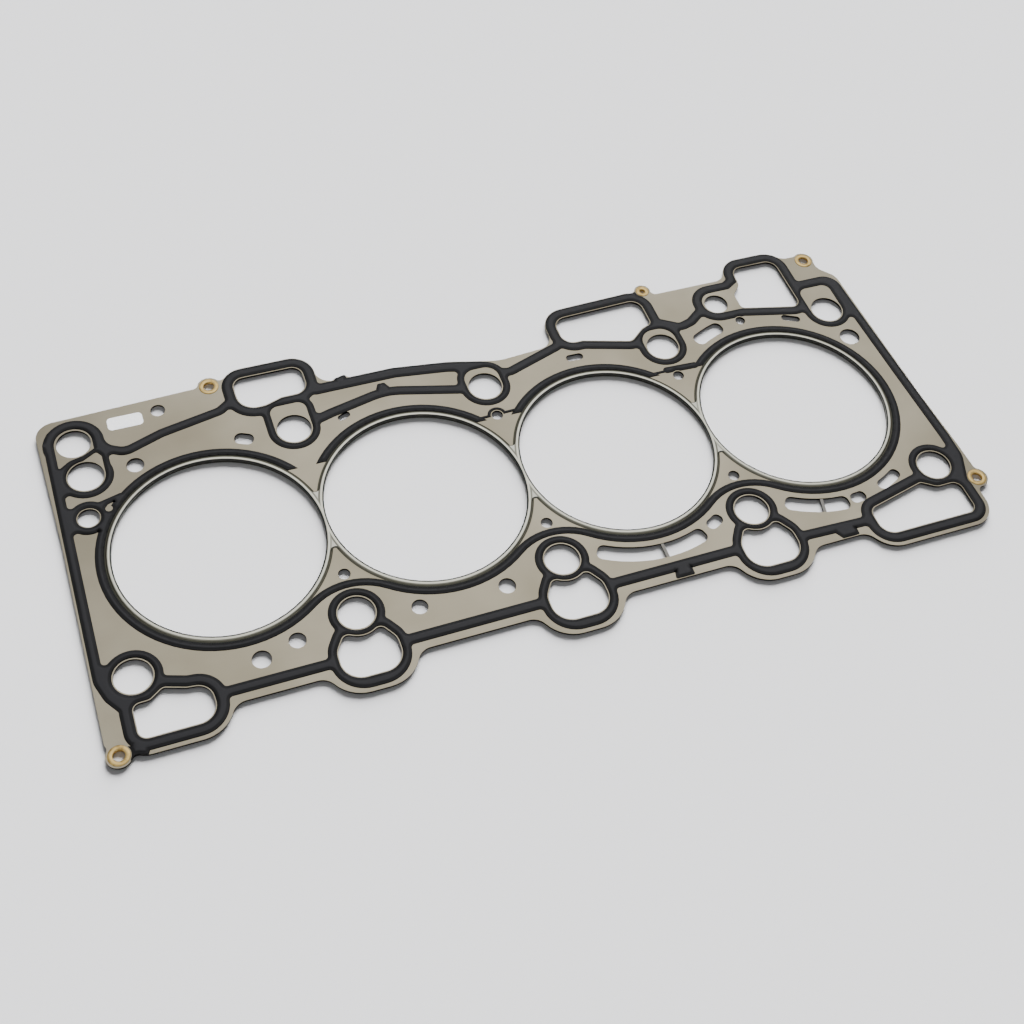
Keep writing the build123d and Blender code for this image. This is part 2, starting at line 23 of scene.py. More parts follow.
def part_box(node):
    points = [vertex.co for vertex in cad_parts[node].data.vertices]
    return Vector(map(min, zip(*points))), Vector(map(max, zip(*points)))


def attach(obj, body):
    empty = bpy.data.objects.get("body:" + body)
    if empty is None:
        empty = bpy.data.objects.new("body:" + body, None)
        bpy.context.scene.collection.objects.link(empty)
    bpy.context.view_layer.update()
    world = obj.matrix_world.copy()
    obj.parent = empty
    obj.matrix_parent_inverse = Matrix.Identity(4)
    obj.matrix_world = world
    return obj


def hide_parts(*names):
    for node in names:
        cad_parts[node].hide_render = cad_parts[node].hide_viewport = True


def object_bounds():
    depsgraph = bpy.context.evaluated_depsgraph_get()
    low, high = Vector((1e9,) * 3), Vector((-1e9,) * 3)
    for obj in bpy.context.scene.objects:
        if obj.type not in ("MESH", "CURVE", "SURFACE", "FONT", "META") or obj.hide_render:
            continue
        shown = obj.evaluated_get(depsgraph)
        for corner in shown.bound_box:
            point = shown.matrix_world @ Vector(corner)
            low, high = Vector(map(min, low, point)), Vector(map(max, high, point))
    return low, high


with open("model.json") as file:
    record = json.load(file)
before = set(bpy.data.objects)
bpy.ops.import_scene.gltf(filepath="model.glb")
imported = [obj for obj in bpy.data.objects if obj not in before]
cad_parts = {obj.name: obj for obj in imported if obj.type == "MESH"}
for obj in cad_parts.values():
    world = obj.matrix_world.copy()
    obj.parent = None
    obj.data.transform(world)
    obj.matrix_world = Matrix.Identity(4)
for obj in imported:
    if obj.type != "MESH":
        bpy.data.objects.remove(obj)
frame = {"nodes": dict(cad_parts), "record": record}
cad_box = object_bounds()

log = logging.getLogger("gasket")

MM = 0.001
BODY = "root"
MIDDLE_LEVEL = (cad_box[0][2] + cad_box[1][2]) / 2
BORES = [mount for mount in frame["record"]["mounts"] if mount["name"].startswith("bore")]
BORE_RADIUS = BORES[0]["dims"]["r_mm"] * MM


class Side(Enum):
    """The face of the gasket that a piece lies on; the value is its direction along Z."""

    UPPER = 1
    LOWER = -1


def linear(colour: str) -> tuple[float, float, float, float]:
    """Turns an sRGB hex colour into linear light.

    Args:
        colour: The colour as six hex digits after a hash.

    Returns:
        Linear red, green and blue, and an alpha of one.
    """
    parts = [int(colour[place : place + 2], 16) / 255 for place in (1, 3, 5)]
    lit = [part / 12.92 if part <= 0.04045 else ((part + 0.055) / 1.055) ** 2.4 for part in parts]
    return (lit[0], lit[1], lit[2], 1.0)


def add_node(tree: bpy.types.NodeTree, kind: str, settings: dict[str, Any], **links: Any) -> bpy.types.Node:
    """Adds a node with its settings, input values and links.

    Args:
        tree: The node tree that gets the node.
        kind: The node's type name.
        settings: Properties of the node, and input values under the input's name or number.
        **links: Output sockets, each under its input's name with spaces written as underscores.

    Returns:
        The new node.
    """
    node = tree.nodes.new(kind)
    for name, value in settings.items():
        if isinstance(name, int) or not hasattr(node, name):
            node.inputs[name].default_value = value
        else:
            setattr(node, name, value)
    for name, socket in links.items():
        key = name.replace("_", " ")
        target = node.inputs[int(key[2:])] if key[:2] == "in" and key[2:].isdigit() else node.inputs[key]
        tree.links.new(socket, target)
    return node


def math_node(
    tree: bpy.types.NodeTree, operation: str, first: Any, second: Any = None
) -> bpy.types.NodeSocket:
    """Works out one sum in a node tree.

    Args:
        tree: The node tree.
        operation: What is done, as Blender's math node names it.
        first: The socket of the first value.
        second: The second value, as a number or a socket, where the operation takes one.

    Returns:
        The socket of the result.
    """
    settings = {"operation": operation}
    links = {"in0": first}
    if isinstance(second, (int, float)):
        settings[1] = second
    elif second is not None:
        links["in1"] = second
    return add_node(tree, "ShaderNodeMath", settings, **links).outputs[0]


def mix_tones(
    tree: bpy.types.NodeTree, share: bpy.types.NodeSocket, first: Any, second: Any
) -> bpy.types.NodeSocket:
    """Mixes two tones, each of them a hex colour or a socket.

    Args:
        tree: The node tree.
        share: The socket of the second tone's share.
        first: The tone where the share is nought.
        second: The tone where the share is one.

    Returns:
        The socket of the mixed tone.
    """
    settings = {"data_type": "RGBA"}
    links = {"in0": share}
    for number, tone in ((6, first), (7, second)):
        if isinstance(tone, str):
            settings[number] = linear(tone)
        else:
            links[f"in{number}"] = tone
    return add_node(tree, "ShaderNodeMix", settings, **links).outputs[2]


def noise(
    tree: bpy.types.NodeTree, place: bpy.types.NodeSocket, size: float, detail: float
) -> bpy.types.NodeSocket:
    """Gives even noise.

    Args:
        tree: The node tree.
        place: The coordinates.
        size: The size of the noise, in metres.
        detail: How many finer layers it holds.

    Returns:
        The socket of the noise.
    """
    settings = {"Scale": 1 / size, "Detail": detail}
    return add_node(tree, "ShaderNodeTexNoise", settings, Vector=place).outputs["Fac"]


def clouds(
    tree: bpy.types.NodeTree, texture: bpy.types.NodeSocket, tones: tuple[tuple[float, str], ...]
) -> bpy.types.NodeSocket:
    """Spreads two tones over a surface by a texture.

    Args:
        tree: The node tree.
        texture: The socket of the texture.
        tones: For each tone, the value of the texture where it is full and its hex colour.

    Returns:
        The socket of the tone.
    """
    ramp = add_node(tree, "ShaderNodeValToRGB", {}, Fac=texture)
    for number, (position, colour) in enumerate(tones):
        ramp.color_ramp.elements[number].position = position
        ramp.color_ramp.elements[number].color = linear(colour)
    return ramp.outputs["Color"]


def height_from_middle(tree: bpy.types.NodeTree, place: bpy.types.NodeSocket) -> bpy.types.NodeSocket:
    """Measures how far above or below the gasket's middle a place lies.

    Args:
        tree: The node tree.
        place: The object coordinates.

    Returns:
        The socket of the height, in metres and never negative.
    """
    axes = add_node(tree, "ShaderNodeSeparateXYZ", {}, Vector=place)
    return math_node(tree, "ABSOLUTE", math_node(tree, "SUBTRACT", axes.outputs["Z"], MIDDLE_LEVEL))


def distance_from_bore(tree: bpy.types.NodeTree, place: bpy.types.NodeSocket) -> bpy.types.NodeSocket:
    """Measures the distance from the edge of the nearest bore.

    Args:
        tree: The node tree.
        place: The object coordinates.

    Returns:
        The socket of the distance, in metres and negative inside the bore.
    """
    flat = add_node(tree, "ShaderNodeVectorMath", {"operation": "MULTIPLY", 1: (1, 1, 0)}, in0=place)
    nearest = None
    for bore in BORES:
        settings = {"operation": "DISTANCE", 1: (bore["pos_m"][0], bore["pos_m"][1], 0.0)}
        away = add_node(tree, "ShaderNodeVectorMath", settings, in0=flat.outputs[0]).outputs["Value"]
        nearest = away if nearest is None else math_node(tree, "MINIMUM", nearest, away)
    return math_node(tree, "SUBTRACT", nearest, BORE_RADIUS)


@dataclass(frozen=True)
class Finish:
    """What every finish holds: its name, the colour it shows in even light and the depth of its grain."""

    name: str
    colour: str
    grain_depth: float = 0.02 * MM

    def start(self) -> tuple[bpy.types.NodeTree, bpy.types.Node, bpy.types.NodeSocket]:
        """Makes a material with a shader and the object's own coordinates.

        Returns:
            The node tree, the shader and the socket of the object coordinates.
        """
        material = bpy.data.materials.new(self.name)
        material.use_nodes = True
        tree = material.node_tree
        shader = tree.nodes["Principled BSDF"]
        shader.inputs["Base Color"].default_value = linear(self.colour)
        place = add_node(tree, "ShaderNodeTexCoord", {}).outputs["Object"]
        return tree, shader, place

    def roughen(
        self, shader: bpy.types.Node, texture: bpy.types.NodeSocket, strength: float, **links: Any
    ) -> None:
        """Gives the surface a fine grain.

        Args:
            shader: The material's shader.
            texture: The socket of the grain.
            strength: How strong the grain is, from nought to one.
            **links: The normal that the grain is laid over, where there is one.
        """
        tree = shader.id_data
        settings = {"Strength": strength, "Distance": self.grain_depth}
        bump = add_node(tree, "ShaderNodeBump", settings, Height=texture, **links)
        tree.links.new(bump.outputs["Normal"], shader.inputs["Normal"])


@dataclass(frozen=True)
class RolledSteel(Finish):
    """Cold-rolled stainless steel under a thin clear coat: satin, warm grey, with a faint grain.

    The bead's painted shade and painted highlight go by the height above the middle of the gasket and by
    the distance from the bore. A face is a cut edge where the upright part of its normal is under the steep
    value, and the cut edges are painted dark, as painted shade.
    """

    dull: str = "#9A927E"
    # Painted shade: cut edges are painted near black, and bore walls dark grey, for the shade in the holes.
    cut: str = "#100F0F"
    bore_wall_shade: str = "#686862"
    # Painted shade and highlight on the bead and the strip beside it, for the light on its round section.
    foot_shade: str = "#4C4C44"
    lip_shade: str = "#3E3F42"
    flank_shade: str = "#88877B"
    crest_highlight: str = "#CECDC0"
    ridge_highlight: str = "#DDDCCC"
    shoulder_shade: str = "#A2A193"
    gap_shade: str = "#3B3C35"
    flat_level: float = 0.5 * MM
    bead_start: float = 0.51 * MM
    bead_width: float = 2.3 * MM
    gap_width: float = 0.6 * MM
    ridge_start: float = 0.72 * MM
    ridge_end: float = 1.45 * MM
    shoulder_end: float = 2.15 * MM
    wall_reach: float = 0.4 * MM
    blend: float = 0.12 * MM
    crown: float = 0.26
    steep: float = 0.2
    shallow: float = 0.5
    roughness: float = 0.3
    smoother: float = 0.05
    rougher: float = 0.07
    # Real rolling lines are about 0.05 mm wide. They are drawn wider so that they show in a render.
    grain: float = 0.35 * MM
    grain_strength: float = 0.06
    drawn_out: float = 0.04
    cloud: float = 55.0 * MM

    def bead_shade_and_highlight_tones(self) -> tuple[tuple[float, str], ...]:
        """Gives the bead's painted shade and highlight by height: dark bands on its slopes, light on top.

        Returns:
            For each tone, the height in millimetres and the hex colour, from the bottom of the bead up.
        """
        return (
            (0.505, self.foot_shade),
            (0.6, self.foot_shade),
            (0.72, self.flank_shade),
            (0.85, self.lip_shade),
            (0.95, self.lip_shade),
            (0.97, self.flank_shade),
            (0.99, self.crest_highlight),
        )

    def band(
        self, tree: bpy.types.NodeTree, distance: bpy.types.NodeSocket, start: float, end: float
    ) -> bpy.types.NodeSocket:
        """Gives one between two distances and nought outside them, with soft ends.

        Args:
            tree: The material's node tree.
            distance: The socket of the distance.
            start: Where the band starts, in metres.
            end: Where it ends, in metres.

        Returns:
            The socket of the share.
        """
        middle, half = (start + end) / 2, (end - start) / 2
        away = math_node(tree, "ABSOLUTE", math_node(tree, "SUBTRACT", distance, middle))
        ends = {1: half - self.blend, 2: half + self.blend, "To Min": 1.0, "To Max": 0.0}
        return add_node(tree, "ShaderNodeMapRange", ends, Value=away).outputs["Result"]

    def painted_bead_shading(
        self, tree: bpy.types.NodeTree, height: bpy.types.NodeSocket, distance: bpy.types.NodeSocket
    ) -> bpy.types.NodeSocket:
        """Paints the bead's shade and highlight by height, with a light band on top and a grey one outside.

        Args:
            tree: The material's node tree.
            height: The socket of the height from the middle.
            distance: The socket of the distance from the bore.

        Returns:
            The socket of the tone.
        """
        ramp = add_node(tree, "ShaderNodeValToRGB", {}, Fac=math_node(tree, "MULTIPLY", height, 1 / MM))
        for position, colour in self.bead_shade_and_highlight_tones():
            ramp.color_ramp.elements.new(position).color = linear(colour)
        ramp.color_ramp.elements[-1].color = linear(self.crest_highlight)
        # Painted highlight along the top of the bead, and painted grey shade on its outer slope.
        on_shoulder = self.band(tree, distance, self.ridge_end, self.shoulder_end)
        shoulder_shade = mix_tones(tree, on_shoulder, ramp.outputs["Color"], self.shoulder_shade)
        on_ridge = self.band(tree, distance, self.ridge_start, self.ridge_end)
        return mix_tones(tree, on_ridge, shoulder_shade, self.ridge_highlight)

    def tone(
        self, tree: bpy.types.NodeTree, place: bpy.types.NodeSocket, distance: bpy.types.NodeSocket
    ) -> bpy.types.NodeSocket:
        """Tones the sheet; paints shade on the bead, its gap and the cut edges, and a highlight on the bead.

        Args:
            tree: The material's node tree.
            place: The object coordinates.
            distance: The socket of the distance from the bore.

        Returns:
            The socket of the tone.
        """
        height = height_from_middle(tree, place)
        sheet = clouds(tree, noise(tree, place, self.cloud, 3.0), ((0.3, self.dull), (0.7, self.colour)))
        # Painted shade: the strip of sheet just outside the bead is darkened.
        in_gap = self.band(tree, distance, self.bead_width, self.bead_width + self.gap_width)
        sheet = mix_tones(tree, in_gap, sheet, self.gap_shade)
        # The raised bead takes its painted shade and highlight; the flat sheet keeps the clouded coat.
        raised = add_node(tree, "ShaderNodeMapRange", {1: self.flat_level, 2: self.bead_start}, Value=height)
        coat = mix_tones(tree, raised.outputs["Result"], sheet, self.painted_bead_shading(tree, height, distance))
        # Painted shade: upright faces, the cut edges, are painted near black, and dark grey near the bores.
        facing = add_node(tree, "ShaderNodeNewGeometry", {}).outputs["Normal"]
        upright = add_node(tree, "ShaderNodeSeparateXYZ", {}, Vector=facing).outputs["Z"]
        level = math_node(tree, "ABSOLUTE", upright)
        face = add_node(tree, "ShaderNodeMapRange", {1: self.steep, 2: self.shallow}, Value=level)
        in_bore = self.band(tree, distance, -self.wall_reach, self.wall_reach)
        edge = mix_tones(tree, in_bore, self.cut, self.bore_wall_shade)
        return mix_tones(tree, face.outputs["Result"], edge, coat)

    def rounded_crest(self, tree: bpy.types.NodeTree, distance: bpy.types.NodeSocket) -> bpy.types.NodeSocket:
        """Rounds the shading of the bead across its width.

        Args:
            tree: The material's node tree.
            distance: The socket of the distance from the bore.

        Returns:
            The socket of the rounded normal.
        """
        sides = {2: self.bead_width, "To Min": -1.0, "To Max": 1.0}
        across = add_node(tree, "ShaderNodeMapRange", sides, Value=distance)
        square = math_node(tree, "POWER", across.outputs["Result"], 2.0)
        arch = math_node(tree, "MULTIPLY", square, -self.crown)
        settings = {"Strength": 1.0, "Distance": MM}
        return add_node(tree, "ShaderNodeBump", settings, Height=arch).outputs["Normal"]

    def material(self) -> bpy.types.Material:
        """Builds the steel: clouded coat, rolling grain, and the bead with painted shade and highlight.

        Returns:
            The material.
        """
        tree, shader, place = self.start()
        distance = distance_from_bore(tree, place)
        # A satin metal: it mirrors the softbox as one broad soft sheen, faintly streaked along the strip.
        tree.links.new(self.tone(tree, place, distance), shader.inputs["Base Color"])
        shader.inputs["Metallic"].default_value = 1.0
        stretch = add_node(tree, "ShaderNodeMapping", {"Scale": (self.drawn_out, 1.0, 1.0)}, Vector=place)
        strip = noise(tree, stretch.outputs["Vector"], self.grain, 4.0)
        ends = {"To Min": self.roughness - self.smoother, "To Max": self.roughness + self.rougher}
        sheen = add_node(tree, "ShaderNodeMapRange", ends, Value=strip)
        tree.links.new(sheen.outputs["Result"], shader.inputs["Roughness"])
        self.roughen(shader, strip, self.grain_strength, Normal=self.rounded_crest(tree, distance))
        return bpy.data.materials[self.name]


@dataclass(frozen=True)
class MouldedRubber(Finish):
    """Moulded nitrile rubber, near black and satin, with the fine spark-eroded grain of its mould."""

    bloom: str = "#121214"
    # Painted highlight: the crown of the rib is painted lighter, for the light along its top.
    crown_highlight: str = "#1E1E20"
    highlight_start: float = 0.83 * MM
    highlight_end: float = 0.9 * MM
    roughness: float = 0.5
    refraction: float = 1.52
    gloss: float = 0.25
    # The real grit of such a mould is about 0.03 mm. It is drawn coarser so that it shows in a render.
    grit: float = 0.12 * MM
    grit_strength: float = 0.12
    cloud: float = 9.0 * MM

    def material(self) -> bpy.types.Material:
        """Builds the rubber: faint bloom in clouds, a painted highlight on the crown, and the mould's grain.

        Returns:
            The material.
        """
        tree, shader, place = self.start()
        film = clouds(tree, noise(tree, place, self.cloud, 4.0), ((0.35, self.colour), (0.8, self.bloom)))
        height = height_from_middle(tree, place)
        # Painted highlight: lighter colour on the crown of the rib, by height.
        crown = add_node(tree, "ShaderNodeMapRange", {1: self.highlight_start, 2: self.highlight_end}, Value=height)
        crown_with_highlight = mix_tones(tree, crown.outputs["Result"], film, self.crown_highlight)
        # A satin black: a dim, wide highlight along the rib, part real and part painted; dark shoulders.
        tree.links.new(crown_with_highlight, shader.inputs["Base Color"])
        shader.inputs["Roughness"].default_value = self.roughness
        shader.inputs["IOR"].default_value = self.refraction
        shader.inputs["Specular IOR Level"].default_value = self.gloss
        self.roughen(shader, noise(tree, place, self.grit, 2.0), self.grit_strength)
        return bpy.data.materials[self.name]


@dataclass(frozen=True)
class RolledBrass(Finish):
    """Drawn brass with a rolled flange, bright, with a browner tarnish in small clouds."""

    tarnish: str = "#B5965A"
    roughness: float = 0.3
    cloud: float = 2.5 * MM
    # The real marks of the tool are about 0.05 mm wide. They are drawn wider so that they show.
    mark: float = 0.4 * MM
    mark_strength: float = 0.1

    def material(self) -> bpy.types.Material:
        """Builds the brass: tarnish in clouds and the fine marks of the rolling tool.

        Returns:
            The material.
        """
        tree, shader, place = self.start()
        tone = clouds(tree, noise(tree, place, self.cloud, 3.0), ((0.28, self.tarnish), (0.5, self.colour)))
        # A bright yellow metal: a clear highlight runs round the rolled rim.
        tree.links.new(tone, shader.inputs["Base Color"])
        shader.inputs["Metallic"].default_value = 1.0
        shader.inputs["Roughness"].default_value = self.roughness
        self.roughen(shader, noise(tree, place, self.mark, 2.0), self.mark_strength)
        return bpy.data.materials[self.name]


@dataclass(frozen=True)
class ScreenInk(Finish):
    """White screen-printing ink, matt, with a slightly uneven film."""

    thin: str = "#F2F3F8"
    roughness: float = 0.55
    cloud: float = 1.5 * MM

    def material(self) -> bpy.types.Material:
        """Builds the ink film.

        Returns:
            The material.
        """
        tree, shader, place = self.start()
        tone = clouds(tree, noise(tree, place, self.cloud, 3.0), ((0.3, self.thin), (0.6, self.colour)))
        # A matt white: the brightest place on the gasket, with no clear highlight.
        tree.links.new(tone, shader.inputs["Base Color"])
        shader.inputs["Roughness"].default_value = self.roughness
        return bpy.data.materials[self.name]


@dataclass(frozen=True)
class PaintedFloor(Finish):
    """Matt pale paint on a flat studio floor."""

    roughness: float = 0.9

    def material(self) -> bpy.types.Material:
        """Builds the floor's paint.

        Returns:
            The material.
        """
        _, shader, _ = self.start()
        # A matt paint: it mirrors nothing, so the ground stays even round the gasket.
        shader.inputs["Roughness"].default_value = self.roughness
        shader.inputs["Specular IOR Level"].default_value = 0.0
        return bpy.data.materials[self.name]


def plain_object(name: str, mesh: bpy.types.Mesh) -> bpy.types.Object:
    """Puts a mesh into the scene as an object at the origin.

    Args:
        name: The piece's name.
        mesh: The mesh, in metres and in its final place.

    Returns:
        The new object.
    """
    piece = bpy.data.objects.new(name, mesh)
    bpy.context.scene.collection.objects.link(piece)
    return piece


def settle(piece: bpy.types.Object, name: str) -> bpy.types.Object:
    """Turns a piece with modifiers into one with a plain mesh.

    Args:
        piece: The object with its modifiers.
        name: The name of the plain mesh and of the piece.

    Returns:
        The same object, without modifiers.
    """
    shaped = piece.evaluated_get(bpy.context.evaluated_depsgraph_get())
    mesh = bpy.data.meshes.new_from_object(shaped)
    piece.modifiers.clear()
    piece.data = mesh
    mesh.name = name
    piece.name = name
    return piece


@dataclass
class GeometryTree:
    """A tree of geometry nodes that starts with its inputs and ends with its material."""

    name: str
    inputs: dict[str, str] = field(default_factory=dict)

    def __post_init__(self) -> None:
        """Makes the tree with one named input for each size."""
        self.tree = bpy.data.node_groups.new(self.name, "GeometryNodeTree")
        self.tree.interface.new_socket("Geometry", in_out="INPUT", socket_type="NodeSocketGeometry")
        for label, kind in self.inputs.items():
            self.tree.interface.new_socket(label, in_out="INPUT", socket_type=kind)
        self.tree.interface.new_socket("Geometry", in_out="OUTPUT", socket_type="NodeSocketGeometry")
        self.given = self.add("NodeGroupInput", {})

    def add(self, kind: str, settings: dict[str, Any], **links: Any) -> bpy.types.Node:
        """Adds a node to this tree, as add_node does."""
        return add_node(self.tree, kind, settings, **links)

    def close(self, geometry: bpy.types.NodeSocket, material: bpy.types.Material) -> None:
        """Ends the tree with real geometry and its material.

        Args:
            geometry: The socket with the finished geometry.
            material: The material that all of it gets.
        """
        real = self.add("GeometryNodeRealizeInstances", {}, Geometry=geometry)
        dressed = self.add("GeometryNodeSetMaterial", {"Material": material}, Geometry=real.outputs[0])
        self.add("NodeGroupOutput", {}, Geometry=dressed.outputs[0])

    def apply(self, piece: bpy.types.Object, values: dict[str, Any], name: str) -> bpy.types.Object:
        """Runs the tree on a piece and keeps the result as a plain mesh.

        Args:
            piece: The object that the tree shapes.
            values: The value of each named input.
            name: The name of the finished piece.

        Returns:
            The finished piece.
        """
        modifier = piece.modifiers.new(self.name, "NODES")
        modifier.node_group = self.tree
        for item in self.tree.interface.items_tree:
            if item.in_out == "INPUT" and item.name in values:
                modifier[item.identifier] = values[item.name]
        return settle(piece, name)


@dataclass
class SteelStack:
    """The three steel layers and the two stoppers, as the solids give them."""

    coated: tuple[str, ...] = ("top_layer", "bottom_layer")
    plain: tuple[str, ...] = ("carrier_layer", "upper_stopper", "lower_stopper")

    def dress(self, coated: bpy.types.Material, plain: bpy.types.Material) -> None:
        """Gives the outer layers the coated steel and the inner ones the bare steel.

        Args:
            coated: The finish of the two embossed layers.
            plain: The finish of the carrier and the stoppers.
        """
        for names, material in ((self.coated, coated), (self.plain, plain)):
            for name in names:
                node = frame["nodes"][name]
                node.data.materials.clear()
                node.data.materials.append(material)
                log.info("dressed %s in %s", name, material.name)


@dataclass
class MouldedSeal:
    """A rubber seal on one face: a thin film with a raised bead along the middle of each band.

    The section gives the height at each distance from the edge of a band. Both are in millimetres, and so is
    the pitch of the mesh.
    """

    node: str
    side: Side
    pitch: float = 0.9
    fineness: int = 10000
    crowding: float = 0.96
    weld: float = 0.0001 * MM
    seam: float = 0.0005 * MM
    section: tuple[tuple[float, float], ...] = (
        (0.0, 0.0),
        (0.12, 0.17),
        (0.35, 0.22),
        (0.75, 0.22),
        (1.1, 0.29),
        (1.45, 0.38),
        (1.85, 0.40),
    )
    edges: list[tuple[Vector, Vector, Vector]] = field(default_factory=list)

    def read_outline(self) -> None:
        """Reads the edges of the seal's free face from its solid, with the way in from each."""
        shape = bmesh.new()
        shape.from_mesh(frame["nodes"][self.node].data)
        bmesh.ops.remove_doubles(shape, verts=shape.verts, dist=self.weld)
        shape.normal_update()
        free = [face for face in shape.faces if face.normal.z * self.side.value > 0.5]
        corners = [vert.co.xy.to_3d() / MM for vert in shape.verts]
        shape.verts.index_update()
        self.area = BVHTree.FromPolygons(corners, [[vert.index for vert in face.verts] for face in free])
        inside = set(free)
        for edge in shape.edges:
            faces = [face for face in edge.link_faces if face in inside]
            if len(faces) != 1:
                continue
            start, end = (vert.co.xy / MM for vert in edge.verts)
            third = next(vert.co.xy / MM for vert in faces[0].verts if vert not in edge.verts)
            along = (end - start).normalized()
            way_in = Vector((-along.y, along.x))
            if way_in.dot(third - start) < 0:
                way_in.negate()
            self.edges.append((start, end, way_in))
        shape.free()

    def holds(self, place: Vector) -> bool:
        """Tells whether a place lies on the seal's free face."""
        return self.area.ray_cast(Vector((place.x, place.y, 1.0)), Vector((0, 0, -1)), 2.0)[0] is not None

    def outline(self) -> tuple[list[Vector], list[tuple[int, int]], list[Vector]]:
        """Divides the outline into short steps.

        Returns:
            The places along the outline, the pairs that are joined, and the way in at the middle of each.
        """
        places: list[Vector] = []
        pairs: list[tuple[int, int]] = []
        ways: list[Vector] = []
        known: dict[tuple[int, int], int] = {}

        def number(place: Vector) -> int:
            """Gives a place its number, the same for the same place.

            Args:
                place: The place on the outline.

            Returns:
                Its number in the list of places.
            """
            key = (round(place.x * self.fineness), round(place.y * self.fineness))
            if key not in known:
                known[key] = len(places)
                places.append(place)
            return known[key]

        for start, end, way_in in self.edges:
            steps = max(1, round((end - start).length / self.pitch))
            line = [number(start.lerp(end, step / steps)) for step in range(steps + 1)]
            pairs += zip(line, line[1:])
            ways += [way_in] * steps
        return places, pairs, ways

    def inner_places(
        self, places: list[Vector], pairs: list[tuple[int, int]], ways: list[Vector]
    ) -> list[Vector]:
        """Places rows of points beside the outline and a grid in the wide stretches.

        Args:
            places: The places along the outline.
            pairs: The joined pairs of them.
            ways: The way in from each pair.

        Returns:
            The places inside the seal.
        """
        near = KDTree(len(pairs) * 3)
        for index, (first, second) in enumerate(pairs):
            for share in (0.0, 1 / 3, 2 / 3):
                near.insert(places[first].lerp(places[second], share).to_3d(), index)
        near.balance()
        rows = [distance for distance, _ in self.section[1:]]
        inner = []
        for distance in rows:
            for (first, second), way_in in zip(pairs, ways):
                place = places[first].lerp(places[second], 0.5) + way_in * distance
                if near.find(place.to_3d())[2] > self.crowding * distance and self.holds(place):
                    inner.append(place)
        low, high = (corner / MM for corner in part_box(self.node))
        step = Vector((self.pitch, self.pitch * sin(pi / 3)))
        for row in range(int((high.y - low.y) / step.y)):
            for column in range(int((high.x - low.x) / step.x)):
                place = Vector((low.x + (column + row % 2 / 2) * step.x, low.y + row * step.y))
                if self.holds(place) and near.find(place.to_3d())[2] > rows[-1] + self.pitch / 2:
                    inner.append(place)
        return inner

    def sheet(
        self, places: list[Vector], pairs: list[tuple[int, int]]
    ) -> tuple[list[Vector], list[list[int]]]:
        """Fills the outline with triangles through the places.

        Args:
            places: The outline's places and any inside it.
            pairs: The joined pairs of the outline.

        Returns:
            The corners and the triangles, all facing up.
        """
        corners, _, faces, _, _, _ = delaunay_2d_cdt(places, pairs, [], 0, 1 / self.fineness)
        middles = [sum((corners[n] for n in face), Vector((0, 0))) / 3 for face in faces]
        kept = [face for face, middle in zip(faces, middles) if self.holds(middle)]
        return corners, kept

    def flat_mesh(self) -> bpy.types.Mesh:
        """Builds the flat closed sheet that the bead is raised from.

        Returns:
            The sheet's mesh.
        """
        places, pairs, ways = self.outline()
        inner = self.inner_places(places, pairs, ways)
        low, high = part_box(self.node)
        seat = low.z if self.side is Side.UPPER else high.z
        shape = bmesh.new()
        for cloud, facing in ((places + inner, self.side.value), (places, -self.side.value)):
            corners, faces = self.sheet(cloud, pairs)
            verts = [shape.verts.new((corner.x * MM, corner.y * MM, seat)) for corner in corners]
            for face in faces:
                shape.faces.new([verts[n] for n in (face if facing > 0 else face[::-1])])
        bmesh.ops.remove_doubles(shape, verts=shape.verts, dist=self.seam)
        mesh = bpy.data.meshes.new(self.node)
        shape.to_mesh(mesh)
        shape.free()
        return mesh

    def crown_tree(self, material: bpy.types.Material) -> GeometryTree:
        """Builds the tree that raises the section by the distance from the outline.

        Args:
            material: The rubber.

        Returns:
            The tree.
        """
        kinds = {"Height": "NodeSocketFloat", "Reach": "NodeSocketFloat", "Direction": "NodeSocketFloat"}
        tree = GeometryTree(f"raised_section_{self.node}", kinds)
        given = tree.given.outputs
        fold = tree.add("GeometryNodeInputMeshEdgeAngle", {})
        rim = tree.add("FunctionNodeCompare", {1: pi / 2}, in0=fold.outputs[0])
        source = {"Geometry": given["Geometry"], "Selection": rim.outputs[0]}
        outline = tree.add("GeometryNodeSeparateGeometry", {"domain": "EDGE"}, **source)
        near = tree.add("GeometryNodeProximity", {"target_element": "EDGES"}, in0=outline.outputs[0])
        share = tree.add("ShaderNodeMapRange", {}, Value=near.outputs["Distance"], in2=given["Reach"])
        rise = tree.add("ShaderNodeFloatCurve", {}, Value=share.outputs["Result"])
        reach, height = self.section[-1]
        points = rise.mapping.curves[0].points
        points[0].location = (0.0, 0.0)
        points[1].location = (1.0, 1.0)
        for distance, level in self.section[1:-1]:
            points.new(distance / reach, level / height)
        for point in points:
            point.handle_type = "AUTO_CLAMPED"
        rise.mapping.update()
        lift = math_node(tree.tree, "MULTIPLY", rise.outputs[0], given["Height"])
        turned = math_node(tree.tree, "MULTIPLY", lift, given["Direction"])
        offset = tree.add("ShaderNodeCombineXYZ", {}, Z=turned)
        raised = tree.add("GeometryNodeSetPosition", {}, Geometry=given["Geometry"], Offset=offset.outputs[0])
        smooth = tree.add("GeometryNodeSetShadeSmooth", {"Shade Smooth": True}, Geometry=raised.outputs[0])
        tree.close(smooth.outputs[0], material)
        return tree

    def build(self, material: bpy.types.Material) -> bpy.types.Object:
        """Makes the seal with its raised bead in place of its solid.

        Args:
            material: The rubber.

        Returns:
            The finished piece.
        """
        self.read_outline()
        name = f"moulded_{self.node}"
        piece = plain_object(name, self.flat_mesh())
        reach, height = self.section[-1]
        values = {"Height": height * MM, "Reach": reach * MM, "Direction": float(self.side.value)}
        self.crown_tree(material).apply(piece, values, name)
        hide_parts(self.node)
        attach(piece, BODY)
        log.info("built %s with %d faces", name, len(piece.data.polygons))
        return piece


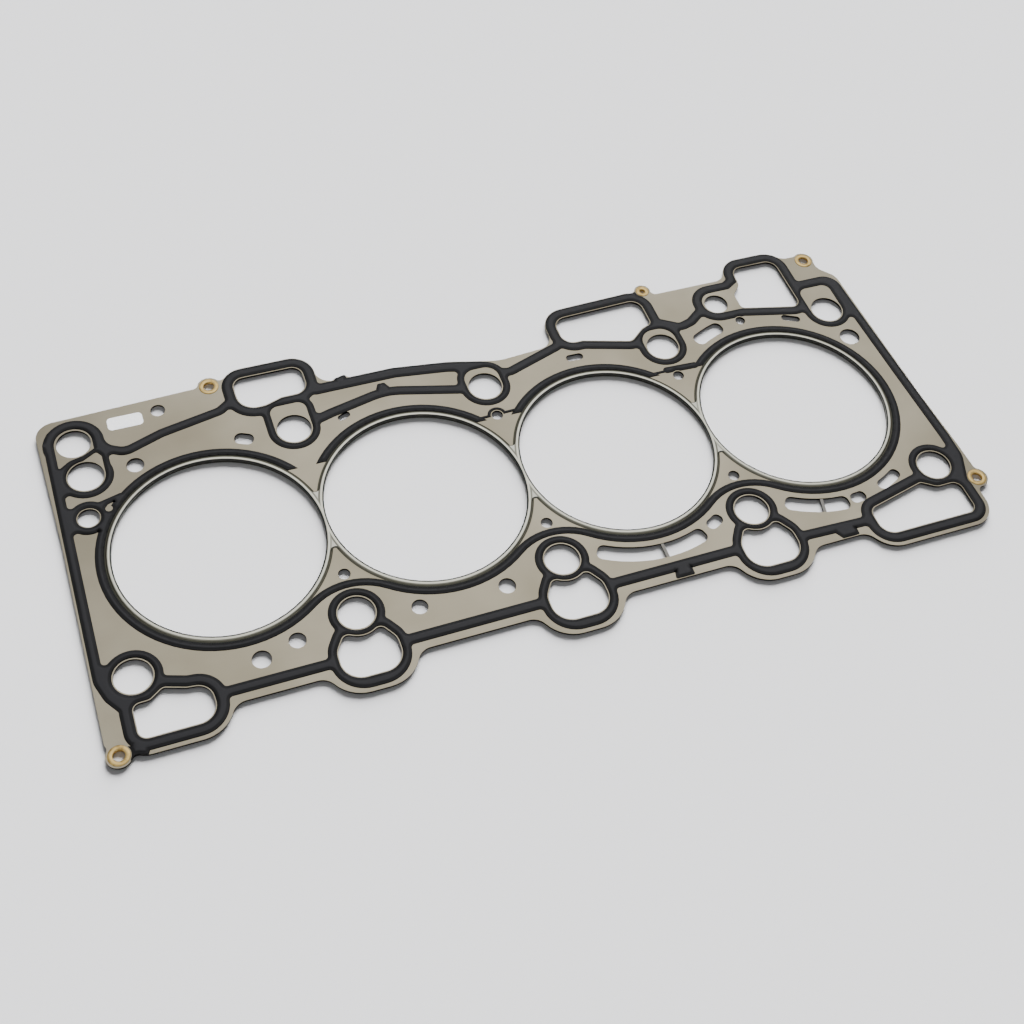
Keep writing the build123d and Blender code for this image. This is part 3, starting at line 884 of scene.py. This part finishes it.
@dataclass
class EyeletSet:
    """Brass eyelets of one size: a tube through all layers with a rolled flange on each face."""

    name: str
    nodes: tuple[str, ...]
    ring: float = 2.1 * MM
    wall: float = 0.4 * MM
    crown: float = 0.6
    around: int = 64
    across: int = 10
    weld: float = 0.001 * MM

    def section(self) -> list[Vector]:
        """Draws the section of the wall and its two rolled flanges, out from the axis.

        Returns:
            The places of the closed section, from inside the bore over the upper flange and back.
        """
        low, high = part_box(self.nodes[0])
        outer = (high.x - low.x) / 2
        tube = outer - self.ring + self.wall
        seat_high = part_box("top_seal")[0].z
        seat_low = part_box("bottom_seal")[1].z
        middle = outer - self.ring / 2
        bend = [pi * step / self.across for step in range(self.across + 1)]
        over = [self.rim_place(middle, angle, seat_high, high.z) for angle in bend]
        under = [self.rim_place(middle, angle, seat_low, low.z) for angle in reversed(bend)]
        return over + [Vector((tube, 0, seat_high)), Vector((tube, 0, seat_low))] + under

    def rim_place(self, middle: float, angle: float, seat: float, top: float) -> Vector:
        """Gives a place on the rolled rim, at an angle from the bore's side to the outer side."""
        height = (top - seat) * sin(angle) ** self.crown
        return Vector((middle - self.ring / 2 * cos(angle), 0, seat + height))

    def eyelet_mesh(self) -> bpy.types.Mesh:
        """Turns the section round the axis into one closed eyelet at the origin.

        Returns:
            The eyelet's mesh.
        """
        shape = bmesh.new()
        verts = [shape.verts.new(place) for place in self.section()]
        ring = [shape.edges.new((verts[n - 1], verts[n])) for n in range(len(verts))]
        turn = {"axis": (0, 0, 1), "cent": (0, 0, 0), "angle": 2 * pi, "steps": self.around}
        bmesh.ops.spin(shape, geom=verts + ring, use_merge=True, **turn)
        bmesh.ops.remove_doubles(shape, verts=shape.verts, dist=self.weld)
        bmesh.ops.recalc_face_normals(shape, faces=shape.faces)
        mesh = bpy.data.meshes.new("eyelet")
        shape.to_mesh(mesh)
        shape.free()
        return mesh

    def repeat_tree(self, labels: list[str], material: bpy.types.Material) -> GeometryTree:
        """Builds the tree that repeats one eyelet at each of the named places.

        Args:
            labels: The names of the inputs that hold the places.
            material: The brass.

        Returns:
            The tree.
        """
        tree = GeometryTree(f"repeated_{self.name}", {label: "NodeSocketVector" for label in labels})
        index = tree.add("GeometryNodeInputIndex", {})
        choice = tree.add("GeometryNodeIndexSwitch", {"data_type": "VECTOR"}, Index=index.outputs[0])
        while len(choice.index_switch_items) < len(labels):
            choice.index_switch_items.new()
        for number, label in enumerate(labels, start=1):
            tree.tree.links.new(tree.given.outputs[label], choice.inputs[number])
        spots = tree.add("GeometryNodePoints", {"Count": len(labels)}, Position=choice.outputs[0])
        source = tree.given.outputs["Geometry"]
        copies = tree.add("GeometryNodeInstanceOnPoints", {}, Points=spots.outputs[0], Instance=source)
        smooth = tree.add("GeometryNodeSetShadeSmooth", {"Shade Smooth": True}, Geometry=copies.outputs[0])
        tree.close(smooth.outputs[0], material)
        return tree

    def build(self, material: bpy.types.Material) -> bpy.types.Object:
        """Makes one eyelet and repeats it at each place.

        Args:
            material: The brass.

        Returns:
            The finished piece with all the eyelets of this size.
        """
        piece = plain_object(self.name, self.eyelet_mesh())
        places = {}
        for number, node in enumerate(self.nodes, start=1):
            low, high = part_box(node)
            places[f"Place {number}"] = ((low.x + high.x) / 2, (low.y + high.y) / 2, 0.0)
        self.repeat_tree(list(places), material).apply(piece, places, self.name)
        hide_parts(*self.nodes)
        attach(piece, BODY)
        log.info("built %s with %d faces", piece.name, len(piece.data.polygons))
        return piece


@dataclass
class PrintedField:
    """The blank white field printed near the left rear corner."""

    middle: tuple[float, float] = (-159.8 * MM, 75.4 * MM)
    size: tuple[float, float] = (15.4 * MM, 7.0 * MM)
    corner: float = 2.0 * MM
    film: float = 0.03 * MM
    steps: int = 8

    def build(self, material: bpy.types.Material, seat: float) -> bpy.types.Object:
        """Makes the field as a thin film with round corners.

        Args:
            material: The ink.
            seat: The height of the steel under it.

        Returns:
            The finished piece.
        """
        half = Vector(self.size) / 2 - Vector((self.corner, self.corner))
        rim = []
        for quarter in range(4):
            right = 1 if quarter in (0, 3) else -1
            back = 1 if quarter in (0, 1) else -1
            for step in range(self.steps + 1):
                angle = pi / 2 * (quarter + step / self.steps)
                x = self.middle[0] + right * half.x + self.corner * cos(angle)
                y = self.middle[1] + back * half.y + self.corner * sin(angle)
                rim.append((x, y, seat))
        shape = bmesh.new()
        face = shape.faces.new([shape.verts.new(place) for place in rim])
        raised = bmesh.ops.extrude_face_region(shape, geom=[face])["geom"]
        top = [item for item in raised if isinstance(item, bmesh.types.BMVert)]
        bmesh.ops.translate(shape, verts=top, vec=(0, 0, self.film))
        bmesh.ops.recalc_face_normals(shape, faces=shape.faces)
        mesh = bpy.data.meshes.new("printed_field")
        shape.to_mesh(mesh)
        shape.free()
        mesh.materials.append(material)
        piece = plain_object("printed_field", mesh)
        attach(piece, BODY)
        log.info("built %s", piece.name)
        return piece


@dataclass
class Studio:
    """A pale floor, a low soft key light from the rear right, a softbox that the steel mirrors, and a camera.

    Lengths are in metres and angles in degrees. The camera's heading turns it about Z, its tilt leans it back
    from straight down, and its roll turns the picture.
    """

    floor_size: float = 8.0
    floor_colour: str = "#EDEDEF"
    air: str = "#FFFFFF"
    air_strength: float = 0.2
    mirrored_strength: float = 0.5
    key_from: tuple[float, float, float] = (0.40, 0.78, 0.302)
    key_spread: float = 46.0
    key_strength: float = 18.9
    softbox_place: tuple[float, float, float] = (0.33, 0.62, 1.2)
    softbox_size: float = 1.3
    softbox_power: float = 5.6
    lens: float = 47.94
    sensor: float = 36.0
    eye: tuple[float, float, float] = (-0.1641, -0.3238, 0.4825)
    heading: float = -26.4981
    tilt: float = 35.2889
    roll: float = 8.1553

    def lay_floor(self) -> None:
        """Lays the floor that the gasket rests on."""
        half = self.floor_size / 2
        mesh = bpy.data.meshes.new("floor")
        corners = [(-half, -half, 0), (half, -half, 0), (half, half, 0), (-half, half, 0)]
        mesh.from_pydata(corners, [], [(0, 1, 2, 3)])
        mesh.materials.append(PaintedFloor("matt_paint_floor", self.floor_colour).material())
        plain_object("floor", mesh)

    def hang_softbox(self) -> None:
        """Hangs the square softbox that the steel mirrors towards the camera."""
        lamp = bpy.data.lights.new("softbox", "AREA")
        lamp.shape = "SQUARE"
        lamp.size = self.softbox_size
        lamp.energy = self.softbox_power
        light = bpy.data.objects.new("softbox", lamp)
        light.visible_diffuse = False
        light.location = self.softbox_place
        light.rotation_euler = (-Vector(self.softbox_place)).to_track_quat("-Z", "Y").to_euler()
        bpy.context.scene.collection.objects.link(light)

    def hang_key(self) -> None:
        """Hangs the distant key light, polarised so that the steel doesn't mirror it."""
        lamp = bpy.data.lights.new("key", "SUN")
        lamp.angle = radians(self.key_spread)
        lamp.energy = self.key_strength
        light = bpy.data.objects.new("key", lamp)
        light.rotation_euler = (-Vector(self.key_from)).to_track_quat("-Z", "Y").to_euler()
        light.visible_glossy = False
        bpy.context.scene.collection.objects.link(light)

    def set_air(self) -> None:
        """Fills the room with weak even light, and with pale walls that the steel mirrors."""
        world = bpy.data.worlds.new("studio_air")
        world.use_nodes = True
        air = world.node_tree.nodes["Background"]
        air.inputs["Color"].default_value = linear(self.air)
        path = add_node(world.node_tree, "ShaderNodeLightPath", {})
        strength = add_node(
            world.node_tree,
            "ShaderNodeMapRange",
            {"To Min": self.air_strength, "To Max": self.mirrored_strength},
            Value=path.outputs["Is Glossy Ray"],
        )
        world.node_tree.links.new(strength.outputs["Result"], air.inputs["Strength"])
        bpy.context.scene.world = world

    def set_camera(self) -> None:
        """Sets the camera at the photograph's angle."""
        lens = bpy.data.cameras.new("camera")
        lens.lens = self.lens
        lens.sensor_width = self.sensor
        lens.clip_start = 0.01
        camera = bpy.data.objects.new("camera", lens)
        place = Matrix.Translation(self.eye)
        for angle, axis in ((self.heading, "Z"), (self.tilt, "X"), (self.roll, "Z")):
            place = place @ Matrix.Rotation(radians(angle), 4, axis)
        camera.matrix_world = place
        bpy.context.scene.collection.objects.link(camera)
        bpy.context.scene.camera = camera

    def build(self) -> None:
        """Sets the floor, the lights and the camera."""
        self.lay_floor()
        self.set_air()
        self.hang_key()
        self.hang_softbox()
        self.set_camera()
        log.info("set the studio")


def main() -> None:
    """Builds the gasket's looks and the studio round it."""
    logging.basicConfig(level=logging.INFO)
    coated = RolledSteel("satin_coated_steel", "#B3AB97").material()
    bare = RolledSteel("bare_rolled_steel", "#8E8C88", dull="#77756F").material()
    SteelStack().dress(coated, bare)
    rubber = MouldedRubber("moulded_nitrile_rubber", "#0A0A0B").material()
    for node, side in (("top_seal", Side.UPPER), ("bottom_seal", Side.LOWER)):
        MouldedSeal(node, side).build(rubber)
    brass = RolledBrass("rolled_brass", "#E6C67F").material()
    EyeletSet("brass_eyelets", ("eyelet_1", "eyelet_3", "eyelet_4", "eyelet_5")).build(brass)
    EyeletSet("small_brass_eyelet", ("eyelet_2",)).build(brass)
    PrintedField().build(ScreenInk("white_screen_ink", "#FFFFFF").material(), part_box("top_seal")[0].z)
    Studio().build()


if __name__ == "__main__":
    main()
